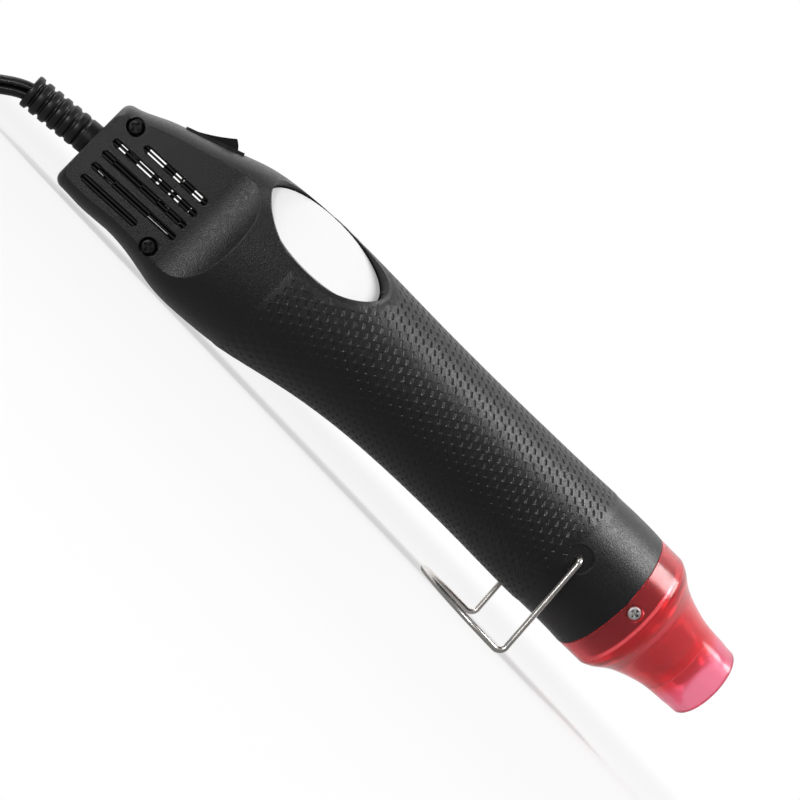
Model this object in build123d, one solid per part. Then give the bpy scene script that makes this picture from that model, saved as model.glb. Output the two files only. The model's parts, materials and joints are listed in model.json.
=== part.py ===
from build123d import *
import os
from math import cos, hypot, pi, radians, sin, sqrt, tan

os.makedirs("parts", exist_ok=True)

# An embossing heat tool: a hand-held hot-air tool in two moulded half shells.
# Lengths are in millimetres and angles in degrees.
# Tool frame: X runs along the barrel towards the outlet, with 0 at the shells' front edge,
# Y points left, away from the flank with the label, and Z points up, towards the switch.
# Table frame: Z is 0 where the tool stands, on its wire stand and the belly of its tail.

# Overall sizes and fits
body_length = 185.0
front_radius = 20.0
wall = 2.2
nose_lift = 2.3
running_gap = 0.05
free_gap = 0.3
overrun = 1.0

# Sections of the body: place along it, then top, bottom and half width over the front radius,
# and last the squareness, which is 2 for an ellipse
body_shares = (
    (0.000, 1.000, 1.000, 1.000, 2.00),
    (0.110, 0.985, 0.985, 0.985, 2.00),
    (0.220, 0.955, 0.960, 0.955, 2.00),
    (0.340, 0.935, 0.955, 0.940, 2.00),
    (0.460, 0.935, 1.005, 0.940, 2.00),
    (0.560, 0.950, 1.130, 0.945, 2.05),
    (0.620, 0.955, 1.245, 0.950, 2.15),
    (0.680, 0.950, 1.350, 0.950, 2.30),
    (0.740, 0.905, 1.395, 0.945, 2.55),
    (0.795, 0.810, 1.390, 0.935, 2.85),
    (0.845, 0.642, 1.300, 0.920, 3.15),
    (0.900, 0.457, 1.250, 0.905, 3.35),
    (0.945, 0.306, 1.275, 0.890, 3.45),
    (1.000, 0.121, 1.270, 0.850, 3.50),
)
section_points = 16
tail_round = 2.6

# Spigot that the guard fits on
spigot_length = 7.4
spigot_step = 2.7
spigot_wall = 2.0
spigot_root = 4.0

# Vent panels, one on each flank of the tail, placed from the tail's end
panel_inset = 5.0
scoop_length = 33.0
scoop_radius = 17.8
vent_width = 2.1
vent_pitch = 4.0
vent_z = -10.7
vent_slope = 1.9
vent_margin = 4.1
vent_length = 28.0
vent_row_shares = ((-2, 0.0, 0.66), (-1, 0.0, 1.0), (0, 0.0, 1.0), (1, 0.0, 1.0), (2, 0.24, 1.0))

# Screws that close the shells: how far from the tail's end and how far below the axis
rear_screw_inset = 5.6
rear_screw_drop = 0.9
low_screw_inset = 28.8
low_screw_drop = 20.3
shell_screw_head = 2.2
shell_screw_head_height = 1.5
shell_screw_radius = 1.25
shell_screw_length = 18.0
recess_radius = 2.5
recess_depth = 2.0
boss_radius = 2.9
driver_width = 0.7
driver_share = 0.62
driver_depth = 0.7

# Label and its flat seat on the upper right shoulder, placed from the tail's end
label_lean = 48.0
label_sink = 5.3
label_inset = 61.1
label_length = 40.0
label_width = 23.0
label_thick = 0.4
label_margin = 0.4

# Wire stand
stand_back = 18.0
wire_radius = 0.85
stand_side_gap = 1.4
stand_lean = 6.0
foot_straight = 3.6
stand_bend = 2.3
stand_top_bend = 1.6
stand_reach = 1.6
spot_radius = 4.0
spot_depth = 0.45

# Rocker switch on the tail's top slope, placed from the tail's end
switch_inset = 22.8
switch_slope = 20.0
flange_length = 16.2
flange_width = 11.0
flange_height = 0.7
flange_sink = 0.2
switch_length = 14.8
switch_width = 9.8
switch_depth = 10.6
window_length = 13.6
window_width = 8.4
window_depth = 5.6
rocker_radius = 6.5
rocker_pivot = 1.0
rocker_width = 7.8
rocker_high = 3.3
rocker_low = 0.55
rocker_dip = 0.35
rocker_heel = 3.2
rocker_pin_radius = 0.9
rocker_pin_reach = 1.2
tab_width = 2.8
tab_thick = 0.6
tab_length = 4.5
tab_spacing = 7.0

# Guard round the outlet
guard_gap = 0.25
guard_step = 0.05
guard_collar = 8.6
guard_length = 39.6
guard_wall = 2.4
guard_fit = 0.1
mouth_wall = 2.3
mouth_radius = 9.2
mouth_length = 5.0
guard_lip = 0.9
guard_neck_shares = ((0.068, 0.900), (0.177, 0.630), (0.406, 0.270), (0.632, 0.083), (0.850, 0.030))
guard_screw_x = 3.6
guard_screw_head = 2.0
guard_screw_head_height = 1.1
guard_screw_radius = 1.1
guard_screw_length = 3.1
guard_sink_radius = 2.5
guard_sink_depth = 1.35

# Heater tube with its tapered nose, and what lies inside it, placed from its rear end
tube_wall = 0.5
tube_fan_gap = 4.8
nose_start = 14.0
nose_end = 33.0
nose_radius = 5.8
nose_shares = ((0.24, 0.93), (0.42, 0.63), (0.63, 0.27), (0.82, 0.09))
ring_wall = 3.2
ring_start = 1.0
ring_end = 6.5
sleeve_wall = 0.4
sleeve_inset = 7.0
sleeve_front = 10.0
core_inset = 9.0
core_front = 14.0
core_thick = 0.8
core_step = 1.4
core_end = 3.5
coil_wire = 0.4
coil_turns = 9
coil_margin = 3.0
cutout_inset = 17.0
cutout_length = 8.0
cutout_width = 4.0
cutout_height = 2.2
cutout_side = 2.5

# Ribs across the shells, and the hole through them for the heater's leads
rib_thick = 2.0
motor_rib_height = 4.5
heater_rib_inset = 3.0
lead_hole = 2.2
lead_hole_margin = 0.5

# Motor, fan and rectifier, placed from the tail's end
motor_ring_gap = 3.5
motor_inset = 43.0
motor_length = 29.0
motor_seat = 2.0
can_wall = 0.8
endcap_length = 2.5
post_length = 1.4
post_radius = 0.8
post_place = 6.0
shaft_radius = 1.0
shaft_tip = 0.5
shaft_tail = 1.6
magnet_wall = 1.8
magnet_margin = 3.0
magnet_slot = 3.0
armature_gap = 0.8
armature_margin = 6.0
bearing_radius = 3.0
bearing_length = 2.0
bracket_length = 3.0
bracket_ring = 0.45
bracket_arm = 3.0
bracket_arms = 3
fan_tip_gap = 0.5
fan_hub = 5.0
fan_motor_gap = 12.2
fan_length = 7.0
fan_blades = 7
blade_thick = 0.9
blade_pitch = 38.0
board_step = 3.0
board_thick = 1.5
diode_radius = 1.3
diode_length = 4.8
diode_pitch = 4.2
diodes = 4

# Strain relief in the tail's back wall
relief_drop = 11.2
relief_droop = 5.4
relief_length = 20.0
relief_neck = 4.6
relief_neck_length = 1.5
relief_start = 0.5
relief_base = 4.2
relief_tip = 3.4
relief_rib = 4.85
relief_ribs = 6
relief_smooth = 3.2
relief_rib_share = 0.45
relief_flange = 5.8
relief_flange_length = 1.4
relief_fit = 0.1
relief_mouth = 2.85
relief_mouth_depth = 4.0

# Cord inside the tail, its clamp and the leads
cord_radius = 2.5
cord_tail_inset = 18.0
clamp_inset = 10.5
clamp_width = 4.0
clamp_reach = 7.2
clamp_thick = 2.0
clamp_post = 2.0
clamp_post_place = 5.0
clamp_screw_radius = 0.9
clamp_screw_head = 1.7
clamp_screw_head_height = 1.0
clamp_screw_length = 7.0
lead_radius = 0.7
lead_side = 1.2
lead_gap = 0.3
lead_rise = 7.0
lead_turn_gap = 2.4
lead_reach = 12.0

# The cord's free stretches, in the table frame: strain relief to coil, and coil to plug
cord_route = (
    (-127.82, 0.0, 13.27),
    (-132.50, 0.0, 12.64),
    (-141.30, 0.0, 5.30),
    (-149.50, -1.4, 3.10),
    (-162.80, -8.5, 3.10),
)
plug_route = (
    (-197.0, 42.4, 20.40),
    (-176.0, 41.5, 24.20),
    (-167.0, 32.0, 26.20),
    (-167.0, 19.5, 28.20),
    (-175.5, 10.5, 29.45),
    (-185.0, 10.5, 29.45),
)
run_share = 0.45

# Coil of the length that is put away, which starts along its heading, and its tie
coil_middle = (-193.0, 10.0)
coil_heading = 208.0
coil_halves = 17
coil_columns = 3
coil_samples_per_half = 24
coil_pitch = 5.5
coil_mean = 25.0
coil_z = 3.3
tie_thick = 0.5
tie_slack = 1.0
tie_width = 3.2
tie_head = 4.2
tie_head_height = 2.4

# Flat two-pin plug
plug_width = 35.3
plug_thick = 13.7
plug_corner = 5.5
plug_depth = 16.0
plug_shoulder = 7.0
plug_waist_width = 17.0
plug_waist_thick = 10.0
plug_waist_corner = 4.5
plug_boot = 13.0
plug_boot_root = 4.4
plug_boot_tip = 3.3
plug_edge = 1.2
pin_radius = 2.0
pin_length = 19.0
pin_spacing = 18.6
pin_core = 1.5
pin_sleeve_length = 10.0
pin_root = 3.0
pin_round = 1.0

# Sizes that follow from those above
tail_x = -body_length
tail_inside_x = tail_x + wall
spigot_radius = front_radius - spigot_step
spigot_bore = spigot_radius - spigot_wall
guard_radius = front_radius - guard_step
guard_tip_radius = mouth_radius + mouth_wall
stand_half = front_radius + stand_side_gap
panel_half = front_radius - panel_inset
panel_inside = panel_half - wall
scoop_start = body_length - scoop_length
vent_rear = body_length - vent_margin
vent_front = vent_rear - vent_length
switch_back = body_length - switch_inset
label_back = body_length - label_inset
label_seat = front_radius - label_sink
relief_z = -relief_drop
cord_tail_back = body_length - cord_tail_inset
clamp_back = body_length - clamp_inset
shell_screws = ((tail_x + rear_screw_inset, -rear_screw_drop), (tail_x + low_screw_inset, -low_screw_drop))
motor_back = body_length - motor_inset
motor_front_x = motor_length - motor_back
motor_rib_back = motor_back - motor_length + motor_seat
motor_rib_bore = front_radius - motor_rib_height
motor_radius = motor_rib_bore - motor_ring_gap
armature_radius = motor_radius - can_wall - magnet_wall - armature_gap
board_radius = motor_radius - board_step
bracket_reach = motor_rib_bore - running_gap
fan_back = -motor_front_x - fan_motor_gap
fan_radius = motor_rib_bore - fan_tip_gap
shaft_front = fan_back - fan_length - shaft_tip
shaft_rear = motor_back + shaft_tail
tube_radius = spigot_bore - ring_wall - 2 * running_gap
tube_inside = tube_radius - tube_wall
tube_back = fan_back - fan_length - tube_fan_gap
heater_rib_back = tube_back - heater_rib_inset
sleeve_outer = tube_inside - running_gap
sleeve_inner = sleeve_outer - sleeve_wall
sleeve_back = tube_back - sleeve_inset
core_back = tube_back - core_inset
core_wide = sleeve_inner - running_gap
core_narrow = core_wide - core_step
cutout_back = tube_back - cutout_inset
lead_drop = motor_rib_bore + lead_hole + lead_hole_margin
lead_turn_back = tube_back + lead_turn_gap
lead_end_back = tube_back - lead_reach


def rod(radius, x_from, x_to, y=0.0, z=0.0):
    """Round bar along X."""
    return Pos((x_from + x_to) / 2, y, z) * Rot(0, 90, 0) * Cylinder(radius, x_to - x_from)


def pipe(outer, inner, x_from, x_to):
    """Round tube along X."""
    return rod(outer, x_from, x_to) - rod(inner, x_from - overrun, x_to + overrun)


def cross_rod(radius, y_from, y_to, x, z):
    """Round bar along Y."""
    return Pos(x, (y_from + y_to) / 2, z) * Rot(90, 0, 0) * Cylinder(radius, abs(y_to - y_from))


def block(x_from, x_to, y_from, y_to, z_from, z_to):
    """Box between six planes."""
    middle = Pos((x_from + x_to) / 2, (y_from + y_to) / 2, (z_from + z_to) / 2)
    return middle * Box(x_to - x_from, y_to - y_from, z_to - z_from)


def lathe(edges):
    """Solid of revolution about X of an outline in the XZ plane."""
    return revolve(make_face(edges), Axis.X)


def swept(path, radius):
    """Round wire along a path."""
    return sweep(Plane(origin=path @ 0, z_dir=path % 0) * Circle(radius), path=path)


def tube_path(points):
    """Straight runs with a tangent arc at each corner, and the arcs' radii."""
    corners = [Vector(*point) for point in points]
    radii = []
    for before, here, after in zip(corners, corners[1:], corners[2:]):
        turn = radians((here - before).get_angle(after - here))
        shorter = min((here - before).length, (after - here).length)
        radii.append(run_share * shorter / tan(turn / 2))
    return FilletPolyline(*corners, radius=radii), radii


def driver_cross(depth, reach):
    """Crosshead recess that goes down from the plane Z = 0."""
    low = Pos(0, 0, -depth / 2)
    return low * Box(reach, driver_width, depth) + low * Box(driver_width, reach, depth)


def screw(head, head_height, shank, length):
    """Pan-head screw along Z, its head standing on the plane Z = 0."""
    body = Pos(0, 0, head_height / 2) * Cylinder(head, head_height)
    body = fillet(body.edges().filter_by(GeomType.CIRCLE).sort_by(Axis.Z)[-1], head_height * driver_share)
    body += Pos(0, 0, -length / 2) * Cylinder(shank, length)
    return body - Pos(0, 0, head_height) * driver_cross(driver_depth, 2 * head * driver_share)


def signed_power(value, power):
    """Power of a size that keeps its sign."""
    return abs(value) ** power if value >= 0 else -abs(value) ** power


def body_section(x, top, bottom, half_width, squareness):
    """Closed rounded section of the body at x."""
    middle = (top - bottom) / 2
    half_height = (top + bottom) / 2
    points = []
    for k in range(section_points):
        angle = 2 * pi * (k + 1 / 2) / section_points
        y = half_width * signed_power(cos(angle), 2 / squareness)
        z = middle + half_height * signed_power(sin(angle), 2 / squareness)
        points.append((x, y, z))
    return make_face(Spline(*points, periodic=True))


def body_form(inset, x_rear, x_front):
    """The body drawn in by inset and ended at x_rear and x_front."""
    faces = []
    for place, top, bottom, half, squareness in body_shares:
        x = max(min(-place * body_length, x_front), x_rear)
        sizes = [share * front_radius - inset for share in (top, bottom, half)]
        faces.append(body_section(x, *sizes, squareness))
    return loft(faces)


def body_height(x, column):
    """Height of the body's top or bottom line at x, by its column of the sections."""
    for rear, front in zip(body_shares[1:], body_shares):
        if -rear[0] * body_length <= x <= -front[0] * body_length:
            part = (x / -body_length - front[0]) / (rear[0] - front[0])
            return front_radius * (front[column] + part * (rear[column] - front[column]))
    raise ValueError("x lies off the body")


def panel_cut(side, depth):
    """What one vent panel takes off, with its floor at depth from the middle plane."""
    far = depth + 2 * scoop_radius
    high = 2 * front_radius
    cut = block(tail_x - overrun, -scoop_start, depth, far, -high, high)
    cut += Pos(-scoop_start, depth + scoop_radius, 0) * Cylinder(scoop_radius, 2 * high)
    return cut if side > 0 else mirror(cut, about=Plane.XZ)


def vent_slots(side):
    """The slots of one vent panel."""
    middle = -(vent_rear + vent_front) / 2
    span = vent_rear - vent_front
    frame = Pos(middle, side * panel_half, vent_z) * Rot(0, -vent_slope, 0)
    slots = []
    for row, start, end in vent_row_shares:
        length = (end - start) * span
        centre = (start + end) / 2 * span - span / 2
        outline = SlotOverall(length, vent_width)
        slots.append(frame * Pos(centre, 0, row * vent_pitch) * Rot(90, 0, 0) * extrude(outline, 2 * wall, both=True))
    return slots


def label_plane(distance):
    """Plane square to the label's lean, at a distance from the barrel's axis."""
    outward = Vector(0, -cos(radians(label_lean)), sin(radians(label_lean)))
    middle = outward * distance + Vector(-label_back, 0, 0)
    return Plane(origin=middle, x_dir=(1, 0, 0), z_dir=outward)


def switch_place():
    """Frame of the switch, its Z square to the tail's top slope."""
    return Pos(-switch_back, 0, body_height(-switch_back, 1)) * Rot(0, -switch_slope, 0)


def shell_pair():
    """Right and left half shells."""
    outside = body_form(0, tail_x, 0)
    outside = fillet(outside.faces().sort_by(Axis.X)[0].edges(), tail_round)
    outside += rod(spigot_radius, -spigot_root, spigot_length)

    inside = body_form(wall, tail_inside_x, -spigot_root)
    for side in (1, -1):
        outside -= panel_cut(side, panel_half)
        inside -= panel_cut(side, panel_inside)
    seat_height = 2 * front_radius
    half_length = label_length / 2 + label_margin
    half_width = label_width / 2 + label_margin
    outside -= extrude(label_plane(label_seat) * Ellipse(half_length, half_width), seat_height)
    inside -= extrude(label_plane(label_seat - wall) * Ellipse(half_length + wall, half_width + wall), seat_height)
    for rib_back, bore in ((motor_rib_back, motor_rib_bore), (heater_rib_back, tube_radius + running_gap)):
        rib = rod(2 * front_radius, -rib_back - rib_thick / 2, -rib_back + rib_thick / 2)
        inside -= rib - rod(bore, -rib_back - rib_thick, -rib_back + rib_thick)
    inside += rod(lead_hole, -motor_rib_back - rib_thick, -motor_rib_back + rib_thick, 0, -lead_drop)
    for x, z in shell_screws:
        inside -= cross_rod(boss_radius, -front_radius, front_radius, x, z)

    shell = outside - inside
    shell -= rod(spigot_bore, -spigot_root - overrun, spigot_length + overrun)
    for side in (1, -1):
        for slot in vent_slots(side):
            shell -= slot
        barrel = front_radius * body_shares[1][3]
        far = front_radius + overrun
        shell -= cross_rod(spot_radius, side * (barrel - spot_depth), side * far, -stand_back, 0)
        shell -= cross_rod(wire_radius + running_gap, side * spigot_bore, side * far, -stand_back, 0)
        shell -= cross_rod(guard_screw_radius, side * (spigot_bore - overrun), side * far, guard_screw_x, 0)
    shell -= rod(relief_neck + relief_fit, tail_x - overrun, tail_inside_x + overrun, 0, relief_z)
    half_flange = flange_length / 2 + relief_fit
    half_box = switch_length / 2 + relief_fit
    side_flange = flange_width / 2 + relief_fit
    side_box = switch_width / 2 + relief_fit
    opening = block(-half_flange, half_flange, -side_flange, side_flange, -flange_sink, 2 * switch_depth)
    opening += block(-half_box, half_box, -side_box, side_box, -switch_depth, switch_depth)
    shell -= switch_place() * opening

    reach = 2 * body_length
    high = 2 * front_radius
    right = shell & block(-reach, reach, -high, 0, -high, high)
    left = shell & block(-reach, reach, 0, high, -high, high)
    seat = recess_depth - panel_half
    for x, z in shell_screws:
        right -= cross_rod(recess_radius, -front_radius - overrun, seat, x, z)
        right -= cross_rod(shell_screw_radius, seat - overrun, overrun, x, z)
        left -= cross_rod(shell_screw_radius, -overrun, seat + shell_screw_length, x, z)
    for side in (1, -1):
        z = relief_z + side * clamp_post_place
        left += cross_rod(clamp_post, -cord_radius, panel_inside, -clamp_back, z)
        left -= cross_rod(clamp_screw_radius, -cord_radius - overrun, clamp_screw_length - cord_radius - clamp_thick,
                          -clamp_back, z)
    return right, left


def shell_screw_set():
    """The screws that close the shells at the tail."""
    seat = recess_depth - panel_half
    one = screw(shell_screw_head, shell_screw_head_height, shell_screw_radius, shell_screw_length)
    return Compound([Pos(x, seat, z) * Rot(90, 0, 0) * one for x, z in shell_screws])


def nozzle_guard():
    """Translucent guard: a collar on the spigot and a neck round the outlet."""
    run = guard_length - guard_collar
    fall = guard_radius - guard_tip_radius
    outer = [(guard_collar + a * run, guard_tip_radius + b * fall) for a, b in guard_neck_shares]
    neck_start = (guard_collar, guard_radius)
    neck_end = (guard_length, guard_tip_radius)
    bore = spigot_radius + guard_fit
    step_x = spigot_length + guard_fit
    mouth_start = guard_length - mouth_length
    inner = [(x, radius - guard_wall) for x, radius in outer if x < mouth_start - mouth_length / 2]
    inner_start = (guard_collar, bore - guard_wall / 2 + guard_fit)
    across = [(x, 0, radius) for x, radius in (neck_start, *outer, neck_end)]
    back = [(x, 0, radius) for x, radius in (inner_start, *inner, (mouth_start, mouth_radius))]
    edges = [
        Line((guard_gap, 0, bore), (guard_gap, 0, guard_radius)),
        Line((guard_gap, 0, guard_radius), across[0]),
        Spline(*across, tangents=((1, 0, -fall / run), (1, 0, 0))),
        Line(across[-1], (guard_length, 0, mouth_radius)),
        Line((guard_length, 0, mouth_radius), back[-1]),
        Spline(*back, tangents=((1, 0, -1), (1, 0, 0))),
        Line(back[0], (step_x, 0, bore)),
        Line((step_x, 0, bore), (guard_gap, 0, bore)),
    ]
    guard = lathe(edges)
    guard = fillet(guard.faces().sort_by(Axis.X)[-1].edges(), guard_lip)
    seat = guard_radius - guard_sink_depth
    for side in (1, -1):
        far = guard_radius + overrun
        guard -= cross_rod(guard_sink_radius, side * seat, side * far, guard_screw_x, 0)
        guard -= cross_rod(guard_screw_radius, side * spigot_bore, side * far, guard_screw_x, 0)
    return guard


def guard_screw_set():
    """The two screws that hold the guard on the spigot."""
    one = screw(guard_screw_head, guard_screw_head_height, guard_screw_radius, guard_screw_length)
    seat = guard_radius - guard_sink_depth
    right = Pos(guard_screw_x, -seat, 0) * Rot(90, 0, 0) * one
    left = Pos(guard_screw_x, seat, 0) * Rot(-90, 0, 0) * one
    return Compound([right, left])


def wire_stand(pivot):
    """Bail of one bent wire in the table frame, its foot flat on the table."""
    drop = pivot.Z - wire_radius
    corner_x = pivot.X + drop * tan(radians(stand_lean))
    inner = front_radius - wall - stand_reach
    sides = []
    for side in (-1, 1):
        points = (
            (pivot.X, side * inner, pivot.Z),
            (pivot.X, side * stand_half, pivot.Z),
            (corner_x, side * stand_half, wire_radius),
            (corner_x - foot_straight, side * stand_half, wire_radius),
        )
        sides.append(FilletPolyline(*points, radius=[stand_top_bend, stand_bend]))
    turn_x = corner_x - foot_straight
    toe = (turn_x - stand_half, 0, wire_radius)
    arc = ThreePointArc((turn_x, -stand_half, wire_radius), toe, (turn_x, stand_half, wire_radius))
    edges = [*sides[0].edges(), arc, *sides[1].edges()]
    path = Wire(edges)
    start = Plane(origin=(pivot.X, -inner, pivot.Z), z_dir=(0, -1, 0))
    return sweep(start * Circle(wire_radius), path=path)


def label_plate():
    """Blank oval plate on the label seat."""
    return extrude(label_plane(label_seat) * Ellipse(label_length / 2, label_width / 2), label_thick)


def switch_frame():
    """Box and flange of the rocker switch, with its two hinge pins."""
    frame = block(-flange_length / 2, flange_length / 2, -flange_width / 2, flange_width / 2,
                  -flange_sink, flange_height)
    frame += block(-switch_length / 2, switch_length / 2, -switch_width / 2, switch_width / 2,
                   -switch_depth, -flange_sink)
    frame -= block(-window_length / 2, window_length / 2, -window_width / 2, window_width / 2,
                   -window_depth, flange_height + overrun)
    for side in (1, -1):
        tip = rocker_width / 2 - rocker_pin_reach
        frame += cross_rod(rocker_pin_radius, side * tip, side * window_width / 2, 0, -rocker_pivot)
    return switch_place() * frame


def switch_rocker():
    """Rocker with its front end up, its ends round about the hinge pins."""
    def reach(height):
        return sqrt(rocker_radius ** 2 - (height + rocker_pivot) ** 2)

    rear_top = (-reach(rocker_low), rocker_low)
    front_top = (reach(rocker_high), rocker_high)
    heel = reach(-rocker_heel)
    dip = ((rear_top[0] + front_top[0]) / 2, (rocker_low + rocker_high) / 2 - rocker_dip)
    edges = [
        ThreePointArc((-heel, -rocker_heel), (-rocker_radius, -rocker_pivot), rear_top),
        ThreePointArc(rear_top, dip, front_top),
        ThreePointArc(front_top, (rocker_radius, -rocker_pivot), (heel, -rocker_heel)),
        Line((heel, -rocker_heel), (-heel, -rocker_heel)),
    ]
    body = Rot(90, 0, 0) * extrude(make_face(edges), rocker_width / 2, both=True)
    for side in (1, -1):
        tip = rocker_width / 2 - rocker_pin_reach - running_gap
        far = rocker_width / 2 + overrun
        body -= cross_rod(rocker_pin_radius + running_gap, side * tip, side * far, 0, -rocker_pivot)
    return switch_place() * body


def switch_terminals():
    """The two blade terminals under the switch."""
    blades = []
    for side in (-1, 1):
        x = side * tab_spacing / 2
        blades.append(block(x - tab_thick / 2, x + tab_thick / 2, -tab_width / 2, tab_width / 2,
                            -switch_depth - tab_length, -switch_depth))
    return Compound([switch_place() * blade for blade in blades])


def strain_relief():
    """Ribbed rubber boot, with a neck and a flange that the shells close round."""
    pitch = (relief_length - relief_smooth) / relief_ribs
    points = [(relief_start, 0), (relief_start, relief_rib), (relief_smooth, relief_rib)]
    for k in range(relief_ribs):
        rib_end = relief_smooth + (k + 1) * pitch
        rib_start = rib_end - relief_rib_share * pitch
        core = relief_base + rib_end / relief_length * (relief_tip - relief_base)
        groove_start = relief_smooth + k * pitch
        points += [(groove_start, core), (rib_start, core), (rib_start, relief_rib), (rib_end, relief_rib)]
    mouth_x = relief_length - relief_mouth_depth
    points += [(relief_length, relief_mouth), (mouth_x, relief_mouth), (mouth_x, 0)]
    corners = [(x, 0, radius) for x, radius in points]
    boot = lathe(Polyline(*corners, close=True).edges())
    boot = Pos(tail_x, 0, relief_z) * Rot(0, 180 - relief_droop, 0) * boot
    flange_x = tail_inside_x + relief_fit
    boot += rod(relief_neck, tail_x - relief_neck_length, flange_x, 0, relief_z)
    return boot + rod(relief_flange, flange_x, flange_x + relief_flange_length, 0, relief_z)


def cord_clamp():
    """Bar that holds the cord down on the left shell's posts."""
    bar = block(-clamp_back - clamp_width / 2, -clamp_back + clamp_width / 2,
                -cord_radius - clamp_thick, -cord_radius, relief_z - clamp_reach, relief_z + clamp_reach)
    bar = fillet(bar.edges().filter_by(Axis.Y), clamp_width / 4)
    for side in (1, -1):
        z = relief_z + side * clamp_post_place
        bar -= cross_rod(clamp_screw_radius, -cord_radius - clamp_thick - overrun, 0, -clamp_back, z)
    return bar


def clamp_screw_set():
    """The clamp's two screws."""
    one = screw(clamp_screw_head, clamp_screw_head_height, clamp_screw_radius, clamp_screw_length)
    seat = -cord_radius - clamp_thick
    places = [relief_z + side * clamp_post_place for side in (1, -1)]
    return Compound([Pos(-clamp_back, seat, z) * Rot(90, 0, 0) * one for z in places])


def motor_can():
    """Steel can of the motor, with its front bearing."""
    can = pipe(motor_radius, motor_radius - can_wall, -motor_back, motor_front_x)
    can += rod(motor_radius, motor_front_x - can_wall, motor_front_x)
    can += rod(bearing_radius, motor_front_x - can_wall, motor_front_x + bearing_length)
    return can - rod(shaft_radius + running_gap, -motor_back, motor_front_x + bearing_length + overrun)


def motor_endcap():
    """Plastic end of the motor, with the rear bearing and two posts for the board."""
    cap = rod(motor_radius, -motor_back - endcap_length, -motor_back)
    cap -= rod(shaft_radius + running_gap, -shaft_rear - free_gap, -motor_back + overrun)
    for side in (1, -1):
        rear = -motor_back - endcap_length - post_length
        cap += rod(post_radius, rear, -motor_back - endcap_length, side * post_place, 0)
    return cap


def motor_magnets():
    """The two curved magnets inside the can."""
    outer = motor_radius - can_wall
    ring = pipe(outer, outer - magnet_wall, magnet_margin - motor_back, motor_front_x - magnet_margin)
    ring -= block(-motor_back, motor_front_x, -outer, outer, -magnet_slot, magnet_slot)
    return Compound(ring.solids())


def motor_armature():
    """Wound armature on the shaft, with three poles."""
    x_from = armature_margin - motor_back
    x_to = motor_front_x - armature_margin
    armature = pipe(armature_radius, shaft_radius, x_from, x_to)
    for k in range(3):
        slot = block(x_from - overrun, x_to + overrun, -shaft_radius, shaft_radius, armature_radius / 2, motor_radius)
        armature -= Rot(120 * k, 0, 0) * slot
    return armature


def motor_bracket():
    """Ring on the motor's front, with arms that seat in the shells' rib beside the label's seat."""
    x_from = -motor_rib_back - bracket_length / 2
    x_to = -motor_rib_back + bracket_length / 2
    bracket = rod(motor_radius + bracket_ring, x_from, x_to)
    for k in range(bracket_arms):
        arm = block(x_from, x_to, -bracket_arm / 2, bracket_arm / 2, motor_radius, 2 * motor_radius)
        bracket += Rot(90 - label_lean + 360 * (k + 1 / 2) / bracket_arms, 0, 0) * arm
    bracket &= rod(bracket_reach, x_from, x_to)
    return bracket - rod(motor_radius, x_from - overrun, x_to + overrun)


def fan_impeller():
    """Fan with pitched blades on a round hub."""
    x_from = -fan_back
    x_to = fan_length - fan_back
    middle = (x_from + x_to) / 2
    hub = rod(fan_hub, x_from, x_to)
    hub = fillet(hub.faces().sort_by(Axis.X)[-1].edges(), fan_hub / 2)
    span = fan_radius - fan_hub / 2
    fan = hub
    for k in range(fan_blades):
        blade = Pos(middle, 0, fan_hub / 2 + span / 2) * Rot(0, 0, blade_pitch) * Box(2 * fan_length, blade_thick, span)
        blade &= rod(fan_radius, x_from, x_to)
        fan += Rot(360 * k / fan_blades, 0, 0) * blade
    return fan - rod(shaft_radius, x_from - overrun, x_to + overrun)


def rectifier():
    """Round board behind the motor and the diodes on it."""
    front = -motor_back - endcap_length - post_length
    rear = front - board_thick
    board = rod(board_radius, rear, front)
    parts = []
    for k in range(diodes):
        y = (k - (diodes - 1) / 2) * diode_pitch
        parts.append(Pos(rear - diode_radius, y, -diode_length / 2) * Cylinder(diode_radius, diode_length))
    return board, Compound(parts)


def heater_tube():
    """Steel tube with a nose that tapers to the air outlet."""
    run = nose_end - nose_start
    lines = []
    for inset in (0, tube_wall):
        fall = tube_radius - nose_radius
        nose = [(nose_start + a * run, nose_radius + b * fall - inset) for a, b in nose_shares]
        corners = [(nose_start, tube_radius - inset), *nose, (nose_end, nose_radius - inset)]
        lines.append([(x, 0, radius) for x, radius in corners])
    outer, inner = lines
    edges = [
        Line((-tube_back, 0, tube_inside), (-tube_back, 0, tube_radius)),
        Line((-tube_back, 0, tube_radius), outer[0]),
        Spline(*outer, tangents=((1, 0, 0), (1, 0, 0))),
        Line(outer[-1], inner[-1]),
        Spline(*inner, tangents=((1, 0, 0), (1, 0, 0))),
        Line(inner[0], (-tube_back, 0, tube_inside)),
    ]
    return lathe(edges)


def heater_core():
    """Two crossed mica plates with wide ends."""
    core = None
    for turn in (0, 90):
        plate = block(-core_back, -core_front, -core_thick / 2, core_thick / 2, -core_narrow, core_narrow)
        for x in (-core_back, -core_front - core_end):
            plate += block(x, x + core_end, -core_thick / 2, core_thick / 2, -core_wide, core_wide)
        plate = Rot(turn, 0, 0) * plate
        core = plate if core is None else core + plate
    return core & rod(core_wide, -core_back, -core_front)


def heater_coil():
    """Heating wire wound round the crossed plates."""
    start = core_end + coil_margin - core_back
    height = core_back - core_front - 2 * (core_end + coil_margin)
    radius = core_narrow + coil_wire + running_gap
    path = Helix(height / coil_turns, height, radius, center=(start, 0, 0), direction=(1, 0, 0))
    return sweep(Plane(origin=path @ 0, z_dir=path % 0) * Circle(coil_wire), path=path, is_frenet=True)


def thermal_cutout():
    """Cut-out switch that lies on the level mica plate."""
    low = core_thick / 2
    body = block(-cutout_back, cutout_length - cutout_back, cutout_side, cutout_side + cutout_width,
                 low, low + cutout_height)
    return fillet(body.edges().filter_by(Axis.X), cutout_height / 4)


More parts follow.
